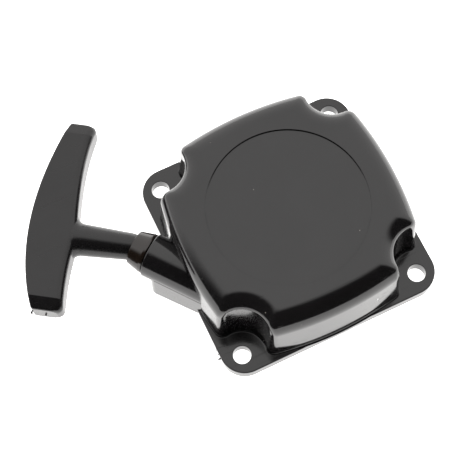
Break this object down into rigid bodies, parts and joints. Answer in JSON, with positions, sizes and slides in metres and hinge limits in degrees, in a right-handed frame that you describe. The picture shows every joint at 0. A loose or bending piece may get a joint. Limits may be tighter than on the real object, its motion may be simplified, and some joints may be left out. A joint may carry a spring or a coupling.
{
  "type": "recoil starter",
  "caption": "Domed recoil starter on a square bolt-on flange, with a spring-loaded rope reel, throw-out pawls and a T pull handle in a side rope guide.",
  "frame": {"origin": "middle of the footprint, on the plane of the mounting flange's underside", "axes": "+Z along the crank axis, from the engine out through the dome; +X along the longer side of the footprint, away from the handle; the crank axis stands at x 0.02482, y -0.01189"},
  "size_m": [0.1306, 0.1048, 0.0303],
  "materials": {
    "black_plastic": "satin injection-moulded black",
    "guide_plastic": "smooth black, slightly browner",
    "reel_plastic": "natural nylon",
    "spring_steel": "blued strip and wire",
    "plated_steel": "zinc plated",
    "insert_brass": "turned",
    "rope_nylon": "braided white nylon"
  },
  "bodies": {
    "housing": {"housing": "black_plastic", "rope_guide": "guide_plastic", "post_insert": "insert_brass", "spring_case": "plated_steel", "spring_cover": "plated_steel", "recoil_spring": "spring_steel", "rope_run": "rope_nylon", "retaining_washer": "plated_steel", "centre_screw": "plated_steel"},
    "reel": {"reel": "reel_plastic", "rope_wound": "rope_nylon", "reel_rope_knot": "rope_nylon", "pawl_spring_1": "spring_steel", "pawl_spring_2": "spring_steel", "friction_spring": "spring_steel"},
    "pawl_guide": {"pawl_guide": "plated_steel"},
    "pawl_1": {"pawl_1": "plated_steel"},
    "pawl_2": {"pawl_2": "plated_steel"},
    "rope_lead": {"rope_lead": "rope_nylon"},
    "handle": {"handle_grip": "black_plastic", "grip_rope_knot": "rope_nylon", "knot_washer": "plated_steel", "grip_cap": "guide_plastic"}
  },
  "joints": [
    {"name": "reel_spin", "type": "hinge", "parent": "housing", "child": "reel", "pos_m": [0.02482, -0.01189, 0.013], "axis": [0, 0, -1], "range_deg": [0, 1600], "stiffness_Nm_per_rad": 0.0125, "springref_deg": -1145.92},
    {"name": "guide_turn", "type": "hinge", "parent": "reel", "child": "pawl_guide", "pos_m": [0.02482, -0.01189, 0.00375], "axis": [0, 0, 1], "range_deg": [0, 24], "stiffness_Nm_per_rad": 0.002, "springref_deg": -20.05},
    {"name": "pawl_1_swing", "type": "hinge", "parent": "reel", "child": "pawl_1", "pos_m": [0.03762, -0.01189, 0.0055], "axis": [0, 0, 1], "range_deg": [0, 32]},
    {"name": "pawl_2_swing", "type": "hinge", "parent": "reel", "child": "pawl_2", "pos_m": [0.01202, -0.01189, 0.0055], "axis": [0, 0, 1], "range_deg": [0, 32]},
    {"name": "handle_swing", "type": "hinge", "parent": "housing", "child": "rope_lead", "pos_m": [-0.02625, 0.00325, 0.013], "axis": [0, 0, 1], "range_deg": [-38, 2]},
    {"name": "handle_pull", "type": "slide", "parent": "rope_lead", "child": "handle", "axis": [-0.83, 0.5577, 0], "range_m": [0, 0.7233]}
  ],
  "couplings": [
    {"joint": "handle_pull", "follows": "reel_spin", "m_per_rad": 0.0259},
    {"joint": "pawl_1_swing", "follows": "guide_turn", "ratio": 1.3333},
    {"joint": "pawl_2_swing", "follows": "guide_turn", "ratio": 1.3333}
  ]
}
